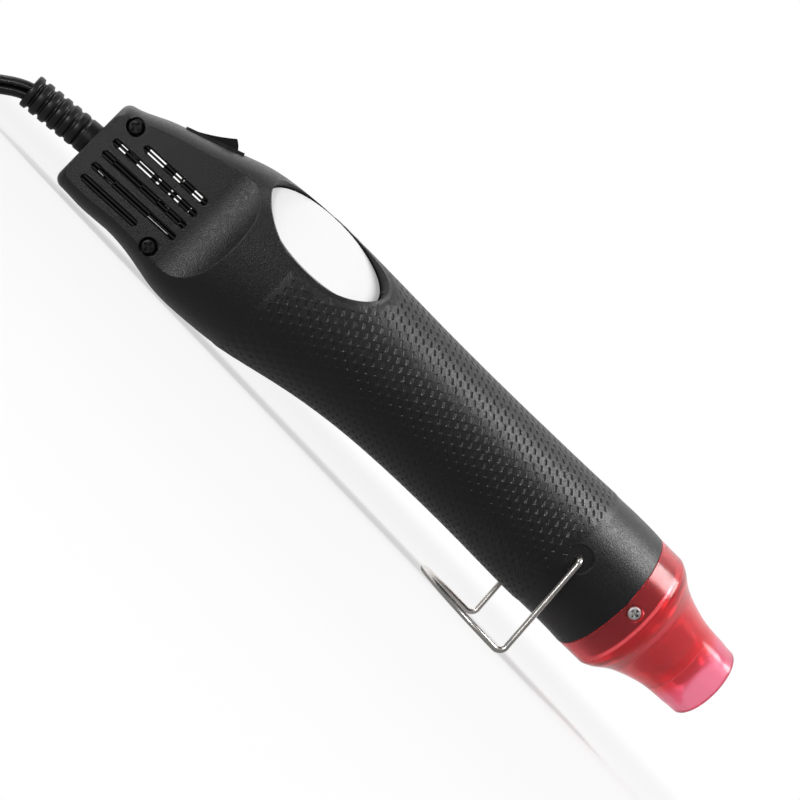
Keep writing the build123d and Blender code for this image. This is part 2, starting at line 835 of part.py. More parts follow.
def supply_leads():
    """Leads from the cord's inner end to the switch."""
    leads = []
    for side in (-1, 1):
        tab = switch_place() * Pos(side * tab_spacing / 2, 0, -switch_depth - tab_length - lead_gap)
        end = tab.position
        y = side * lead_side
        points = ((-cord_tail_back, y, relief_z), (end.X, y, relief_z), (end.X, y, end.Z - tab_thick))
        path, _ = tube_path(points)
        leads.append(swept(path, lead_radius))
    return Compound(leads)


def heater_leads():
    """Leads from the rectifier board, under the fan and into the heater tube."""
    board_x = -motor_back - endcap_length - post_length - board_thick / 2
    turn_drop = min(lead_drop, body_height(-lead_turn_back, 2) - wall - lead_radius)
    leads = []
    for side in (-1, 1):
        y = side * lead_side
        points = (
            (board_x, y, -sqrt(board_radius ** 2 - lead_side ** 2) - lead_gap),
            (board_x, y, -lead_drop),
            (-lead_turn_back, y, -turn_drop),
            (-lead_turn_back, y, -lead_rise),
            (-lead_end_back, y, -lead_rise),
        )
        path, _ = tube_path(points)
        leads.append(swept(path, lead_radius))
    return Compound(leads)


def coil_radii():
    """Radius of each half turn, inwards on one layer and out again on the next."""
    across = 2 * (coil_columns - 1)
    steps = [across - abs(k % (2 * across) - across) for k in range(coil_halves)]
    return [coil_mean + coil_pitch / 2 * (across / 2 - step) for step in steps]


def cord_coil():
    """Layers of half circles as one tube, with a straight end at each side."""
    radii = coil_radii()
    across = 2 * (coil_columns - 1)
    lead = 2 * cord_radius
    y, z = radii[0], coil_z
    edges = [Line((-lead, y, z), (0, y, z))]
    samples = []
    for k, radius in enumerate(radii):
        side = 1 if k % 2 == 0 else -1
        climb = coil_pitch if k % across == 0 and 0 < k < coil_halves - 1 else 0.0
        end_y = y - side * 2 * radius
        reach = hypot(radius, climb / 2)
        middle = Vector(0, (y + end_y) / 2, z + climb / 2)
        edges.append(ThreePointArc((0, y, z), middle + Vector(side * reach, 0, 0), (0, end_y, z + climb)))
        for j in range(coil_samples_per_half):
            angle = pi * j / coil_samples_per_half
            half = Vector(0, (y - end_y) / 2, -climb / 2)
            samples.append(middle + half * cos(angle) + Vector(side * reach * sin(angle), 0, 0))
        y, z = end_y, z + climb
    edges.append(Line((0, y, z), (-lead, y, z)))
    place = Pos(*coil_middle, 0) * Rot(0, 0, coil_heading)
    return place * Wire(edges), [(place * Pos(*point)).position for point in samples]


def coil_gap(samples):
    """Least clear distance between turns, measured on points spaced along the tube."""
    least = None
    for i, here in enumerate(samples):
        for there in samples[i + coil_samples_per_half:]:
            gap = (here - there).length - 2 * cord_radius
            least = gap if least is None else min(least, gap)
    return least


def cord_tie(samples):
    """Flat tie round the turns on the coil's right side."""
    x = coil_middle[0]
    held = [point for point in samples if abs(point.X - x) < tie_width and point.Y < coil_middle[1]]
    y_low = min(point.Y for point in held) - cord_radius - free_gap
    y_high = max(point.Y for point in held) + cord_radius + tie_slack
    z_low = coil_z - cord_radius - free_gap
    z_high = max(point.Z for point in samples) + cord_radius + free_gap
    outer = block(x - tie_width / 2, x + tie_width / 2, y_low - tie_thick, y_high + tie_thick,
                  z_low - tie_thick, z_high + tie_thick)
    outer = fillet(outer.edges().filter_by(Axis.X), cord_radius)
    inner = block(x - tie_width, x + tie_width, y_low, y_high, z_low, z_high)
    inner = fillet(inner.edges().filter_by(Axis.X), cord_radius - tie_thick)
    middle = (y_low + y_high) / 2
    head = block(x - tie_head / 2, x + tie_head / 2, middle - tie_head / 2, middle + tie_head / 2,
                 z_high + tie_thick / 2, z_high + tie_thick / 2 + tie_head_height)
    return outer - inner + fillet(head.edges().filter_by(Axis.Z), tie_thick)


def plug_parts():
    """Plug body and its two pins, flat on the coil, with the pins pointing away from the tool."""
    x, y, z = plug_route[-1]
    turn = Pos(x, y, z) * Rot(0, 0, 180)
    face_x = plug_boot + plug_shoulder + plug_depth
    waist = Plane.YZ.offset(plug_boot) * RectangleRounded(plug_waist_width, plug_waist_thick, plug_waist_corner)
    full = Plane.YZ.offset(plug_boot + plug_shoulder) * RectangleRounded(plug_width, plug_thick, plug_corner)
    body = loft([waist, full], ruled=True) + extrude(full, plug_depth)
    body = fillet(body.faces().sort_by(Axis.X)[-1].edges(), plug_edge)
    boot = [(0, 0), (0, plug_boot_tip), (plug_boot, plug_boot_root), (plug_boot, 0)]
    body += lathe(Polyline(*[(px, 0, pr) for px, pr in boot], close=True).edges())
    pins = []
    for side in (1, -1):
        py = side * pin_spacing / 2
        sleeve_end = face_x + pin_sleeve_length
        body += rod(pin_radius, face_x - pin_root, sleeve_end, py)
        body -= rod(pin_core, face_x - pin_root, sleeve_end + overrun, py)
        bare = rod(pin_radius, sleeve_end, face_x + pin_length, py)
        bare = fillet(bare.faces().sort_by(Axis.X)[-1].edges(), pin_round)
        pins.append(turn * (rod(pin_core, face_x - pin_root, sleeve_end, py) + bare))
    return turn * body, Compound(pins)


right_shell, left_shell = shell_pair()
guard = nozzle_guard()

# Stand the tool on the table: nose up by the lift, belly down, centred in length
tilt = Rot(0, -nose_lift, 0)
tilted_shell = (tilt * right_shell).bounding_box()
tilted_guard = (tilt * guard).bounding_box()
stand = Pos(-(tilted_shell.min.X + tilted_guard.max.X) / 2, 0, -tilted_shell.min.Z) * tilt

pivot = (stand * Pos(-stand_back, 0, 0)).position
relief_end = Pos(tail_x, 0, relief_z) * Rot(0, 180 - relief_droop, 0) * Pos(relief_length, 0, 0)
cord_start = (stand * relief_end).position
board, diode_set = rectifier()
coil_path, coil_samples = cord_coil()
free_path, free_radii = tube_path((*cord_route, tuple(coil_path @ 0)))
plug_path, plug_radii = tube_path((tuple(coil_path @ 1), *plug_route))
plug_body, pin_set = plug_parts()

tool_nodes = {
    "right_shell": right_shell,
    "left_shell": left_shell,
    "housing_screws": shell_screw_set(),
    "label_plate": label_plate(),
    "nozzle_guard": guard,
    "guard_screws": guard_screw_set(),
    "switch_frame": switch_frame(),
    "switch_rocker": switch_rocker(),
    "switch_terminals": switch_terminals(),
    "strain_relief": strain_relief(),
    "cord_tail": rod(cord_radius, tail_inside_x + relief_fit + relief_flange_length, -cord_tail_back, 0, relief_z),
    "cord_clamp": cord_clamp(),
    "clamp_screws": clamp_screw_set(),
    "supply_leads": supply_leads(),
    "motor_can": motor_can(),
    "motor_endcap": motor_endcap(),
    "motor_magnets": motor_magnets(),
    "motor_armature": motor_armature(),
    "motor_shaft": rod(shaft_radius, -shaft_rear, -shaft_front),
    "motor_bracket": motor_bracket(),
    "fan_impeller": fan_impeller(),
    "rectifier_board": board,
    "rectifier_diodes": diode_set,
    "heater_leads": heater_leads(),
    "heater_tube": heater_tube(),
    "front_ring": pipe(spigot_bore - running_gap, tube_radius + running_gap, ring_start, ring_end),
    "mica_sleeve": pipe(sleeve_outer, sleeve_inner, -sleeve_back, -sleeve_front),
    "heater_core": heater_core(),
    "heater_coil": heater_coil(),
    "thermal_cutout": thermal_cutout(),
}
table_nodes = {
    "wire_stand": wire_stand(pivot),
    "power_cord": swept(free_path, cord_radius),
    "cord_coil": swept(coil_path, cord_radius),
    "cord_tie": cord_tie(coil_samples),
    "plug_lead": swept(plug_path, cord_radius),
    "mains_plug": plug_body,
    "plug_pins": pin_set,
}

for name, solid in tool_nodes.items():
    export_step(stand * solid, f"parts/{name}.step")
for name, solid in table_nodes.items():
    export_step(solid, f"parts/{name}.step")

print("stand pivot", [round(value, 3) for value in pivot])
print("strain relief end", [round(value, 3) for value in cord_start])
print("free cord radii", [round(radius, 1) for radius in free_radii])
print("plug lead radii", [round(radius, 1) for radius in plug_radii])
print("coil's least gap to itself", round(coil_gap(coil_samples), 3))
cord_total = free_path.length + coil_path.length + plug_path.length
print("cord length outside the tool", round(cord_total, 1))
for name in ("power_cord", "cord_coil", "plug_lead"):
    path = {"power_cord": free_path, "cord_coil": coil_path, "plug_lead": plug_path}[name]
    ratio = table_nodes[name].volume / (pi * cord_radius ** 2 * path.length)
    print(name, "volume over section times length", round(ratio, 4))
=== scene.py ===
import json
from math import cos, hypot, pi, radians, sin

import bmesh
import bpy
from mathutils import Matrix, Vector
from mathutils.bvhtree import BVHTree


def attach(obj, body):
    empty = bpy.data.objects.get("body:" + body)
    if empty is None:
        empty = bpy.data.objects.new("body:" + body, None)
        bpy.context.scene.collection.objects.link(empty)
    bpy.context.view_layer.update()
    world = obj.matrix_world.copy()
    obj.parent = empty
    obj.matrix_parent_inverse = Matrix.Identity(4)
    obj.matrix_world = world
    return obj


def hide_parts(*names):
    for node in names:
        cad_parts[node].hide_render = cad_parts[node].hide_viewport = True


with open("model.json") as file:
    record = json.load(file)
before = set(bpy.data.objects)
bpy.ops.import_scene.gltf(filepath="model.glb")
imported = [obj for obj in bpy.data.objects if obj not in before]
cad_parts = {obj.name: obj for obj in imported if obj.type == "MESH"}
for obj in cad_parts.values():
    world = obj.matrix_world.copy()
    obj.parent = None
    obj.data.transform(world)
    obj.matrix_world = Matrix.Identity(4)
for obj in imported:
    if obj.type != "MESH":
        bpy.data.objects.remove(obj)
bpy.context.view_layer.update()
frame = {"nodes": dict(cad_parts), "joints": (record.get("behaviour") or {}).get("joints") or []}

MM = 0.001
NODES = frame["nodes"]
JOINTS = {joint["name"]: joint for joint in frame["joints"]}

# The tool's own frame, in millimetres: X forwards along the barrel from the shells' front edge, Z to the top
PIVOT_BACK = 18.0
BARREL = Vector(JOINTS["fan_spin"]["axis"]).normalized()
PIVOT = Vector(JOINTS["stand_swing"]["pos_m"])
ORIGIN = PIVOT + BARREL * PIVOT_BACK * MM
SIDE = Vector((0, 1, 0))
TOOL = Matrix.Translation(ORIGIN) @ Matrix((BARREL, SIDE, BARREL.cross(SIDE))).transposed().to_4x4()

# Camera: its place, right and down in the tool's frame, fitted to the photograph's outlines
CAMERA_PLACE = Vector((-182.97, -527.7, -3.74))
CAMERA_RIGHT = Vector((0.69951, -0.13855, 0.70107))
CAMERA_DOWN = Vector((0.68797, -0.13490, -0.71309))
FOCAL_PIXELS = 2000.0
IMAGE_PIXELS = 800.0
SENSOR = 36.0
CLIP_START = 0.01

# Surroundings: their plain level, and the level that mirrored rays see in front, until it turns white behind
WORLD_LEVEL = 0.2
WORLD_FRONT = 0.17
WORLD_TURN = (-0.15, 0.45)

# Floor, in metres: where mirrored rays see it turn white, and where it fades from its lift into the backdrop.
# Here and below, a PLAIN pair is the colour and roughness that the nodes then vary
FLOOR_REACH = 8.0
FLOOR_TURN = (-0.05, 0.15)
FLOOR_FADE = (0.15, 0.45)
FLOOR_LIFT = 0.6
FLOOR_CLOUDS = 0.3
FLOOR_PLAIN = ((0.9, 0.9, 0.9), 0.9)
FLOOR_TONES = ((0.89, 0.89, 0.89), (0.91, 0.91, 0.91))

# Softboxes: name, place, point they aim at, size, and power in watts
LIGHTS = (
    ("key", (0.30, -0.20, 0.79), (0.0, 0.0, 0.03), (0.46, 0.28), 5.15),
    ("side", (-0.50, -0.86, 0.13), (-0.09, 0.0, 0.03), (0.2, 0.14), 2.8),
    ("rear", (-0.75, 0.10, 0.50), (-0.08, 0.0, 0.03), (0.3, 0.25), 1.5),
)

# Body
BODY_LENGTH = 185.0
FRONT_RADIUS = 20.0

# Grip: where it ends, and its slanting cells, each cut by columns and rows at shares of the cell. The columns
# lean, and the cell's short stroke is one column between two rows
GRIP_REAR = -124.5
GRIP_FRONT_FLANK = -24.4
GRIP_FRONT_TOP = -18.0
GRIP_CELLS_ROUND = 46
GRIP_CELL_LENGTH = 4.2
GRIP_COLUMNS = (0.0, 0.33, 0.5, 0.67)
GRIP_ROWS = (0.0, 0.06, 0.18, 0.82, 0.94)
GRIP_LEAN = 0.46
STROKE_COLUMN = 2
STROKE_ROWS = (2, 3)

# Grip: heights over the shells, the sink of its hem, the ramp up from there, where the rays that look for the
# shells start and how far they go, and the least angle of a sharp edge
GRIP_HEIGHT = 0.22
GRIP_STROKE_LEVEL = 0.01
GRIP_SINK = 0.06
GRIP_RAMP = 2.2
GRIP_PROBE = 40.0
GRIP_REACH = 28.0
GRIP_SHARP = radians(22.0)

# Label: its middle, its turn round the barrel and its half sizes, the margin that the grip keeps from it, and
# how many times as steep the ramp is there
LABEL_BACK = 123.9
LABEL_LEAN = radians(48.0)
LABEL_HALF = (20.0, 11.5)
LABEL_MARGIN = 1.4
LABEL_STEEPER = 2.0

# Vents: the slots of both panels. A row counts upwards from the middle slot, and here and in the ribs it
# starts and ends at shares of the slots' length
PANEL_HALF = 15.0
VENT_MIDDLE = -166.9
VENT_Z = -10.7
VENT_SLOPE = radians(1.9)
VENT_PITCH = 4.0
VENT_SPAN = 28.0
VENT_HALF = 1.05
VENT_ROWS = ((-2, 0.0, 0.66), (-1, 0.0, 1.0), (0, 0.0, 1.0), (1, 0.0, 1.0), (2, 0.24, 1.0))

# Vent inserts: a bar and two lips leave two thin gaps in each slot, closed by ribs in places. A lip lies
# between two distances from the slot's middle, and all lie between two depths behind the panel
VENT_RIBS = (
    (-2, 0.0, 0.66),
    (-1, 0.0, 0.08), (-1, 0.26, 0.68),
    (0, 0.0, 0.14), (0, 0.46, 0.66), (0, 0.78, 0.93),
    (1, 0.0, 0.08), (1, 0.47, 0.53), (1, 0.56, 0.68), (1, 0.80, 0.92),
    (2, 0.24, 0.30), (2, 0.49, 0.61), (2, 0.71, 0.84),
)
BAR_HALF = 0.31
BAR_SINK = (0.8, 1.9)
BAR_EDGE = 0.08
LIP = (0.7, VENT_HALF + 0.05)

# Strain relief: its root in the tail, a neck, and rounded ribs whose grooves deepen towards the cord. The
# shoulder is a distance from the tail and a step under the full radius, and each point of the mouth's edge is
# a distance back from the end and one out from the bore
RELIEF_Z = -11.2
RELIEF_DROOP = radians(5.4)
RELIEF_LENGTH = 20.0
RELIEF_ROOT = 1.2
RELIEF_NECK = 4.55
RELIEF_NECK_END = 0.15
RELIEF_SHOULDER = (0.45, 0.15)
RELIEF_START = 0.7
RELIEF_SMOOTH = 2.6
RELIEF_RIBS = 6
RELIEF_RADIUS = 4.7
RELIEF_GROOVES = (0.3, 0.95)
RELIEF_GROOVE_SHARE = 0.4
RELIEF_GROOVE_SHAPE = 0.8
RELIEF_CROWN = 0.1
RELIEF_CROWN_SHAPE = 0.7
RELIEF_RIM = 0.5
RELIEF_RIM_STEPS = 5
RELIEF_MOUTH = 2.85
RELIEF_MOUTH_DEPTH = 4.0
RELIEF_MOUTH_EDGE = ((0.0, 0.4), (0.15, 0.1), (0.4, 0.0))
RELIEF_STEPS = 150
RELIEF_SIDES = 64

# Cord: its free stretches and its coil, as in the part's own route, in metres
CORD_ROUTE = (
    (-0.12782, 0.0, 0.01327),
    (-0.13250, 0.0, 0.01264),
    (-0.14130, 0.0, 0.00530),
    (-0.14950, -0.0014, 0.00310),
    (-0.16280, -0.0085, 0.00310),
)
PLUG_ROUTE = (
    (-0.1970, 0.0424, 0.02040),
    (-0.1760, 0.0415, 0.02420),
    (-0.1670, 0.0320, 0.02620),
    (-0.1670, 0.0195, 0.02820),
    (-0.1755, 0.0105, 0.02945),
    (-0.1850, 0.0105, 0.02945),
)
COIL_MIDDLE = (-0.193, 0.010)
COIL_HEADING = radians(208.0)
COIL_Z = 0.0033
COIL_HALVES = 17
COIL_COLUMNS = 3
COIL_PITCH = 0.0055
COIL_MEAN = 0.025
COIL_POINTS_PER_HALF = 8
CORD_WIDTH = 0.005
CORD_THICK = 0.0031

# Cord's mesh: half the angle that a core leaves to the waist, points round a core, and steps between points
CORD_WAIST = radians(48.0)
CORE_POINTS = 7
LINE_STEPS = 6

# Materials: the middle part of a noise's range, and sizes, depths and edge radii in metres. The roughness
# pairs of plastic and metal are changes to each material's own
NOISE_SPAN = (0.3, 0.7)
FINE_DETAIL = 3.0
EDGE_SAMPLES = 6
SHELL_PLAIN = ((0.006, 0.006, 0.0065), 0.4)
SHELL_TONES = ((0.0055, 0.0055, 0.006), (0.008, 0.008, 0.0088))
SHELL_CLOUDS = 0.02
SHELL_ROUGHNESS = (0.31, 0.46)
SHELL_PATCHES = 0.0008
SHELL_SPECULAR = 0.62
SHELL_GRAIN = 0.00035
SHELL_GRAIN_DEPTH = 0.0001
SHELL_EDGE = 0.0004
PLASTIC_CLOUDS = 0.008
PLASTIC_ROUGHNESS = (-0.04, 0.05)
PLASTIC_PATCHES = 0.002
PLASTIC_GRAIN = 0.0004
PLASTIC_GRAIN_DEPTH = 0.00002
PLASTIC_EDGE = 0.0002
METAL_CLOUDS = 0.003
METAL_ROUGHNESS = (-0.06, 0.08)
METAL_MARKS = 0.0006
METAL_MARK_DEPTH = 0.00001
METAL_EDGE = 0.00012
# Painted shade in screw recesses: its dark tone, the reach of the ambient occlusion that sets it, the range
# from shaded to open, and the samples
RECESS_SHADE_TONE = (0.02, 0.02, 0.02)
RECESS_REACH = 0.0006
RECESS_OPEN = (0.45, 0.85)
RECESS_SAMPLES = 8

# Guard: its red, which turns milky past the collar, and painted light that turns it pale at the mouth, at
# places in the tool's frame
GUARD_PLAIN = ((0.94, 0.12, 0.15), 0.2)
GUARD_TONES = ((0.96, 0.12, 0.14), (1.0, 0.15, 0.17))
GUARD_CLOUDS = 0.012
GUARD_LIT_MOUTH = (29.0, 33.0)
GUARD_LIT_MOUTH_TONE = (1.0, 0.27, 0.40)
GUARD_MILKY = (9.0, 15.0)
GUARD_CLEARNESS = (0.88, 0.74)
GUARD_ROUGHNESS = (0.15, 0.22)
GUARD_PATCHES = 0.003
GUARD_GRAIN = 0.0006
GUARD_GRAIN_DEPTH = 0.00001
GUARD_IOR = 1.45


# Shader graphs
def new_material(name, color, roughness, metallic=0.0):
    """Material with a Principled shader, as itself, its tree and that shader."""
    material = bpy.data.materials.new(name)
    material.use_nodes = True
    tree = material.node_tree
    shader = tree.nodes["Principled BSDF"]
    shader.inputs["Base Color"].default_value = (*color, 1)
    shader.inputs["Roughness"].default_value = roughness
    shader.inputs["Metallic"].default_value = metallic
    return material, tree, shader


def feed(tree, socket, value):
    """Link a socket, or set its value."""
    if isinstance(value, bpy.types.NodeSocket):
        tree.links.new(value, socket)
    else:
        socket.default_value = value


def math_node(tree, operation, *values):
    """Result of a math node."""
    node = tree.nodes.new("ShaderNodeMath")
    node.operation = operation
    for socket, value in zip(node.inputs, values):
        feed(tree, socket, value)
    return node.outputs[0]


def vector_node(tree, operation, *values):
    """Node that works on vectors, with its inputs fed."""
    node = tree.nodes.new("ShaderNodeVectorMath")
    node.operation = operation
    for socket, value in zip(node.inputs, values):
        feed(tree, socket, value)
    return node


def object_point(tree):
    """Place on the object in the shared frame."""
    return tree.nodes.new("ShaderNodeTexCoord").outputs["Object"]


def barrel_place(tree):
    """Place on the object along the barrel, in millimetres of the tool's frame."""
    shifted = vector_node(tree, "SUBTRACT", object_point(tree), ORIGIN).outputs["Vector"]
    return vector_node(tree, "DOT_PRODUCT", shifted, BARREL / MM).outputs["Value"]


def depth_of(tree, vector):
    """How far a vector goes along Y, away from the camera's side."""
    split = tree.nodes.new("ShaderNodeSeparateXYZ")
    feed(tree, split.inputs[0], vector)
    return split.outputs["Y"]


def noise(tree, size, detail=2.0):
    """Noise with features of a size in metres."""
    node = tree.nodes.new("ShaderNodeTexNoise")
    feed(tree, node.inputs["Vector"], object_point(tree))
    node.inputs["Scale"].default_value = 1 / size
    node.inputs["Detail"].default_value = detail
    return node.outputs["Fac"]


def span(tree, value, low, high, to_low, to_high, smooth=False):
    """Value carried from one range to another."""
    node = tree.nodes.new("ShaderNodeMapRange")
    if smooth:
        node.interpolation_type = "SMOOTHSTEP"
    feed(tree, node.inputs["Value"], value)
    for name, number in (("From Min", low), ("From Max", high), ("To Min", to_low), ("To Max", to_high)):
        feed(tree, node.inputs[name], number)
    return node.outputs[0]


def tint(tree, factor, first, second):
    """Colour between two, by a factor. Each is a plain colour or comes from a socket."""
    node = tree.nodes.new("ShaderNodeMix")
    node.data_type = "RGBA"
    feed(tree, node.inputs["Factor"], factor)
    for name, color in (("A", first), ("B", second)):
        feed(tree, node.inputs[name], color if isinstance(color, bpy.types.NodeSocket) else (*color, 1))
    return node.outputs["Result"]


def bump(tree, shader, height, depth, base=None):
    """Relief of a depth in metres on the shader, over another normal if one is given."""
    node = tree.nodes.new("ShaderNodeBump")
    node.inputs["Strength"].default_value = 1.0
    node.inputs["Distance"].default_value = depth
    feed(tree, node.inputs["Height"], height)
    if base is not None:
        feed(tree, node.inputs["Normal"], base)
    feed(tree, shader.inputs["Normal"], node.outputs["Normal"])


def rounded_edges(tree, radius):
    """Normal with the edges rounded by a radius in metres."""
    node = tree.nodes.new("ShaderNodeBevel")
    node.samples = EDGE_SAMPLES
    node.inputs["Radius"].default_value = radius
    return node.outputs["Normal"]


# Materials
def shell_material(name, edge_radius):
    """Fine-grained black plastic, with its edges rounded where a radius is given."""
    material, tree, shader = new_material(name, *SHELL_PLAIN)
    shader.inputs["Specular IOR Level"].default_value = SHELL_SPECULAR
    feed(tree, shader.inputs["Base Color"], tint(tree, noise(tree, SHELL_CLOUDS), *SHELL_TONES))
    patches = span(tree, noise(tree, SHELL_PATCHES), *NOISE_SPAN, *SHELL_ROUGHNESS)
    feed(tree, shader.inputs["Roughness"], patches)
    edges = rounded_edges(tree, edge_radius) if edge_radius else None
    bump(tree, shader, noise(tree, SHELL_GRAIN, FINE_DETAIL), SHELL_GRAIN_DEPTH, base=edges)
    return material


def plain_plastic(name, dark, light, roughness):
    """Moulded plastic with a slight change of tone and a fine grain."""
    material, tree, shader = new_material(name, dark, roughness)
    feed(tree, shader.inputs["Base Color"], tint(tree, noise(tree, PLASTIC_CLOUDS), dark, light))
    smoothest, roughest = (roughness + change for change in PLASTIC_ROUGHNESS)
    patches = span(tree, noise(tree, PLASTIC_PATCHES), *NOISE_SPAN, smoothest, roughest)
    feed(tree, shader.inputs["Roughness"], patches)
    edges = rounded_edges(tree, PLASTIC_EDGE)
    bump(tree, shader, noise(tree, PLASTIC_GRAIN), PLASTIC_GRAIN_DEPTH, base=edges)
    return material


def metal(name, dark, light, roughness, size=METAL_MARKS, depth=METAL_MARK_DEPTH, recess=False):
    """Bare metal with fine marks, and painted shade darker down in a driver's recess if it has one."""
    material, tree, shader = new_material(name, dark, roughness, metallic=1.0)
    color = tint(tree, noise(tree, METAL_CLOUDS), dark, light)
    # Painted shade: ambient occlusion darkens the colour towards the recess's shade tone
    if recess:
        occlusion = tree.nodes.new("ShaderNodeAmbientOcclusion")
        occlusion.samples = RECESS_SAMPLES
        occlusion.inputs["Distance"].default_value = RECESS_REACH
        color = tint(tree, span(tree, occlusion.outputs["AO"], *RECESS_OPEN, 0, 1), RECESS_SHADE_TONE, color)
    feed(tree, shader.inputs["Base Color"], color)
    marks = noise(tree, size, FINE_DETAIL)
    smoothest, roughest = (roughness + change for change in METAL_ROUGHNESS)
    feed(tree, shader.inputs["Roughness"], span(tree, marks, *NOISE_SPAN, smoothest, roughest))
    bump(tree, shader, marks, depth, base=rounded_edges(tree, METAL_EDGE))
    return material


def guard_material():
    """Translucent red plastic, milkier past the collar, with painted light making it paler at the mouth."""
    material, tree, shader = new_material("red_guard", *GUARD_PLAIN)
    along = barrel_place(tree)
    body = tint(tree, noise(tree, GUARD_CLOUDS), *GUARD_TONES)
    # Painted light: paler pink towards the mouth, for the backdrop shining through past the heater tube
    color = tint(tree, span(tree, along, *GUARD_LIT_MOUTH, 0, 1, smooth=True), body, GUARD_LIT_MOUTH_TONE)
    feed(tree, shader.inputs["Base Color"], color)
    patches = span(tree, noise(tree, GUARD_PATCHES), *NOISE_SPAN, *GUARD_ROUGHNESS)
    feed(tree, shader.inputs["Roughness"], patches)
    clearness = span(tree, along, *GUARD_MILKY, *GUARD_CLEARNESS, smooth=True)
    feed(tree, shader.inputs["Transmission Weight"], clearness)
    shader.inputs["IOR"].default_value = GUARD_IOR
    bump(tree, shader, noise(tree, GUARD_GRAIN), GUARD_GRAIN_DEPTH)
    return material


# Each node's material: a darker and a lighter tone, and the roughness
SHELL = shell_material("black_shell", SHELL_EDGE)
MATERIALS = {
    "right_shell": SHELL,
    "left_shell": SHELL,
    "nozzle_guard": guard_material(),
    "label_plate": plain_plastic("label", (0.93, 0.93, 0.93), (0.95, 0.95, 0.95), 0.32),
    # Both screws' driver recesses get painted shade
    "housing_screws": metal("black_screw", (0.03, 0.03, 0.032), (0.05, 0.05, 0.052), 0.4, recess=True),
    "guard_screws": metal("steel_screw", (0.82, 0.81, 0.80), (0.90, 0.89, 0.88), 0.5, recess=True),
    "clamp_screws": metal("clamp_screw", (0.60, 0.59, 0.56), (0.70, 0.69, 0.66), 0.28),
    "wire_stand": metal("steel_wire", (0.76, 0.73, 0.69), (0.86, 0.83, 0.79), 0.3,
                        size=0.004, depth=0.000001),
    "switch_frame": plain_plastic("switch_frame", (0.006, 0.006, 0.0065), (0.009, 0.009, 0.0098), 0.34),
    "switch_rocker": plain_plastic("switch_rocker", (0.004, 0.004, 0.0045), (0.006, 0.006, 0.0065), 0.2),
    "switch_terminals": metal("brass_part", (0.70, 0.52, 0.26), (0.80, 0.64, 0.36), 0.3),
    "strain_relief": plain_plastic("rubber", (0.005, 0.005, 0.0055), (0.008, 0.008, 0.0085), 0.38),
    "cord_tail": plain_plastic("cord_inner", (0.006, 0.006, 0.0065), (0.010, 0.010, 0.0105), 0.4),
    "cord_clamp": plain_plastic("clamp_bar", (0.02, 0.02, 0.02), (0.03, 0.03, 0.03), 0.45),
    "supply_leads": plain_plastic("lead_insulation", (0.012, 0.012, 0.014), (0.020, 0.020, 0.024), 0.4),
    "heater_leads": plain_plastic("heater_insulation", (0.42, 0.03, 0.02), (0.52, 0.05, 0.04), 0.4),
    "motor_can": metal("motor_can", (0.50, 0.51, 0.52), (0.60, 0.61, 0.62), 0.3),
    "motor_bracket": metal("bracket", (0.52, 0.52, 0.52), (0.62, 0.62, 0.62), 0.35),
    "motor_shaft": metal("shaft", (0.60, 0.60, 0.61), (0.70, 0.70, 0.71), 0.18),
    "motor_endcap": plain_plastic("endcap", (0.68, 0.68, 0.64), (0.76, 0.76, 0.72), 0.4),
    "motor_magnets": plain_plastic("magnet", (0.05, 0.05, 0.055), (0.08, 0.08, 0.085), 0.6),
    "motor_armature": metal("winding", (0.55, 0.24, 0.10), (0.68, 0.34, 0.16), 0.35,
                            size=0.0005, depth=0.0001),
    "fan_impeller": plain_plastic("fan", (0.66, 0.67, 0.66), (0.74, 0.75, 0.74), 0.35),
    "rectifier_board": plain_plastic("board", (0.34, 0.24, 0.09), (0.42, 0.31, 0.13), 0.5),
    "rectifier_diodes": plain_plastic("diode", (0.02, 0.02, 0.022), (0.03, 0.03, 0.032), 0.35),
    "heater_tube": metal("tube_steel", (0.40, 0.37, 0.34), (0.54, 0.51, 0.48), 0.34),
    "front_ring": plain_plastic("ring_mica", (0.55, 0.50, 0.38), (0.66, 0.61, 0.48), 0.5),
    "mica_sleeve": plain_plastic("sleeve_mica", (0.56, 0.51, 0.40), (0.68, 0.63, 0.50), 0.4),
    "heater_core": plain_plastic("core_mica", (0.60, 0.56, 0.44), (0.72, 0.68, 0.56), 0.45),
    "heater_coil": metal("heating_wire", (0.30, 0.27, 0.25), (0.40, 0.37, 0.34), 0.4),
    "thermal_cutout": metal("cutout", (0.60, 0.60, 0.60), (0.70, 0.70, 0.70), 0.3),
    "mains_plug": plain_plastic("plug_body", (0.006, 0.006, 0.0065), (0.010, 0.010, 0.0105), 0.38),
    "plug_pins": metal("plug_pin", (0.66, 0.66, 0.66), (0.76, 0.76, 0.76), 0.18),
    "cord_tie": plain_plastic("tie", (0.008, 0.008, 0.0085), (0.012, 0.012, 0.0125), 0.35),
}


def dress_nodes():
    """Give every CAD node its material."""
    for name, material in MATERIALS.items():
        data = NODES[name].data
        data.materials.clear()
        data.materials.append(material)


# Objects
def add_object(name, data):
    """New object in the scene."""
    thing = bpy.data.objects.new(name, data)
    bpy.context.scene.collection.objects.link(thing)
    return thing


def add_mesh(name, data, smooth):
    """Mesh object, shaded smooth or flat."""
    if smooth:
        data.polygons.foreach_set("use_smooth", [True] * len(data.polygons))
    return add_object(name, data)


def mesh_piece(name, vertices, faces, smooth=True):
    """Mesh object from vertices and faces."""
    data = bpy.data.meshes.new(name)
    data.from_pydata([tuple(v) for v in vertices], [], faces)
    data.validate()
    data.update()
    return add_mesh(name, data, smooth)


def built_piece(name, mesh, smooth):
    """Mesh object from an edited mesh, which it uses up."""
    data = bpy.data.meshes.new(name)
    mesh.to_mesh(data)
    mesh.free()
    return add_mesh(name, data, smooth)


# Cord
def coil_radii():
    """Radius of each half turn, inwards on one layer and out again on the next."""
    across = 2 * (COIL_COLUMNS - 1)
    steps = [across - abs(k % (2 * across) - across) for k in range(COIL_HALVES)]
    return [COIL_MEAN + COIL_PITCH / 2 * (across / 2 - step) for step in steps]


